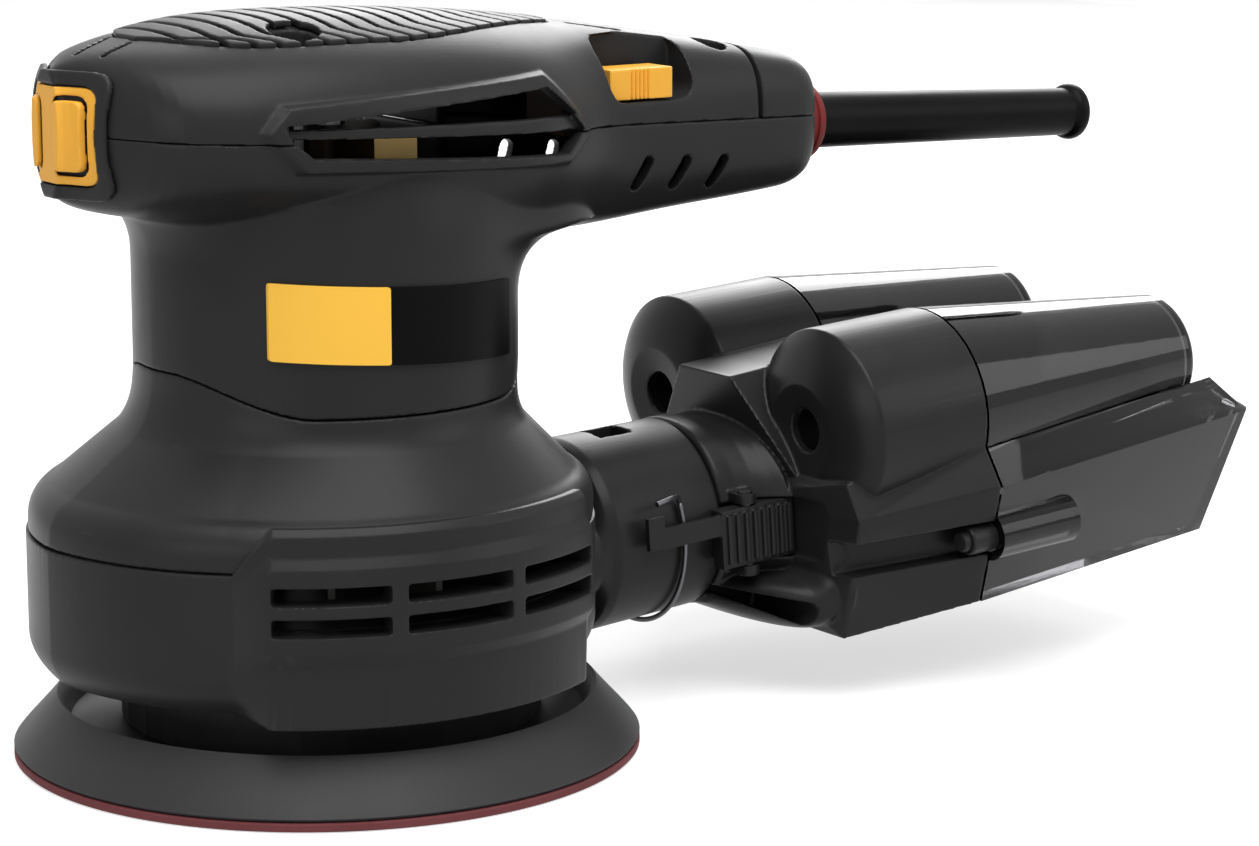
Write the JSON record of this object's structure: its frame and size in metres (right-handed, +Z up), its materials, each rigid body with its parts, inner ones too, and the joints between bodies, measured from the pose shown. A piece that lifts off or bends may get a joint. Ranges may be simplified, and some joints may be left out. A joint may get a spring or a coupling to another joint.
{
  "type": "random orbit sander",
  "caption": "Palm-grip orbital sander with round perforated pad, ribbed grip, slide switch and a pull-off twin-cyclone dust collector.",
  "frame": {"origin": "centre of the abrasive face, on the pad's own axis", "axes": "+Z up, away from the work; +X rearwards, towards cord sleeve and dust collector; -X the nose with the bumper; -Y the side with the switch"},
  "size_m": [0.2684, 0.125, 0.1471],
  "materials": {
    "shell_black": "satin",
    "rubber_black": "matt",
    "grommet_red": "matt",
    "steel": "ground",
    "dark_steel": "blackened",
    "copper": "enamelled wire",
    "brass": "satin",
    "carbon": "matt graphite",
    "clear_smoke": "clear tinted plastic",
    "insulation": "phenolic, matt",
    "abrasive": "grit",
    "trim_yellow": "satin"
  },
  "bodies": {
    "housing": {"skirt_housing": "shell_black", "shoulder_cover": "shell_black", "motor_housing": "shell_black", "top_cover": "shell_black", "grip_pad": "rubber_black", "bumper_frame": "rubber_black", "bumper_insert": "trim_yellow", "side_plate_front": "trim_yellow", "side_plate_rear": "shell_black", "cover_screw_1": "dark_steel", "cover_screw_2": "dark_steel", "cover_screw_3": "dark_steel", "cover_screw_4": "dark_steel", "switch_body": "insulation", "cord_grommet": "grommet_red", "cord_sleeve": "rubber_black", "bearing_bracket": "dark_steel", "fan_shroud": "shell_black", "stator_core": "dark_steel", "field_coil_left": "copper", "field_coil_right": "copper", "brush_bracket": "insulation", "brush_holder_left": "brass", "brush_holder_right": "brass", "carbon_brush_left": "carbon", "carbon_brush_right": "carbon", "pad_brake_ring": "rubber_black", "lower_bearing": "steel", "upper_bearing": "steel", "latch_wire": "steel"},
    "rotor": {"pad_bearing": "steel", "fan": "insulation", "counterweight": "brass", "rotor_shaft": "steel", "armature_core": "dark_steel", "winding_lower": "copper", "winding_upper": "copper", "commutator": "brass"},
    "pad": {"abrasive_disc": "abrasive", "backing_pad": "rubber_black", "pad_spindle": "steel", "pad_screw": "dark_steel"},
    "switch": {"switch_slider": "trim_yellow"},
    "collector": {"dust_head": "shell_black", "latch_pin": "steel"},
    "bin": {"dust_bin": "clear_smoke", "cyclone_tube_left": "clear_smoke", "cyclone_tube_right": "clear_smoke"},
    "catch_left": {"bin_catch_left": "shell_black"},
    "catch_right": {"bin_catch_right": "shell_black"},
    "latch": {"latch_lever": "shell_black"}
  },
  "joints": [
    {"name": "rotor_spin", "type": "hinge", "parent": "housing", "child": "rotor", "pos_m": [0.001, 0, 0.05], "axis": [0, 0, 1], "continuous": true},
    {"name": "pad_spin", "type": "hinge", "parent": "rotor", "child": "pad", "pos_m": [0, 0, 0.015], "axis": [0, 0, 1], "continuous": true},
    {"name": "switch_slide", "type": "slide", "parent": "housing", "child": "switch", "axis": [1, 0, 0], "range_m": [0, 0.0045]},
    {"name": "collector_pull", "type": "slide", "parent": "housing", "child": "collector", "axis": [0.9977, 0, 0.068], "range_m": [0, 0.04]},
    {"name": "bin_pull", "type": "slide", "parent": "collector", "child": "bin", "axis": [0.9977, 0, 0.068], "range_m": [0, 0.06]},
    {"name": "catch_left_slide", "type": "slide", "parent": "collector", "child": "catch_left", "axis": [-0.9977, 0, -0.068], "range_m": [0, 0.008], "stiffness_N_per_m": 300, "springref_m": -0.002},
    {"name": "catch_right_slide", "type": "slide", "parent": "collector", "child": "catch_right", "axis": [-0.9977, 0, -0.068], "range_m": [0, 0.008], "stiffness_N_per_m": 300, "springref_m": -0.002},
    {"name": "latch_swing", "type": "hinge", "parent": "collector", "child": "latch", "pos_m": [0.08775, -0.0223, 0.03605], "axis": [-0.068, 0, 0.9977], "range_deg": [0, 6], "stiffness_Nm_per_rad": 0.2, "springref_deg": -2.86}
  ]
}
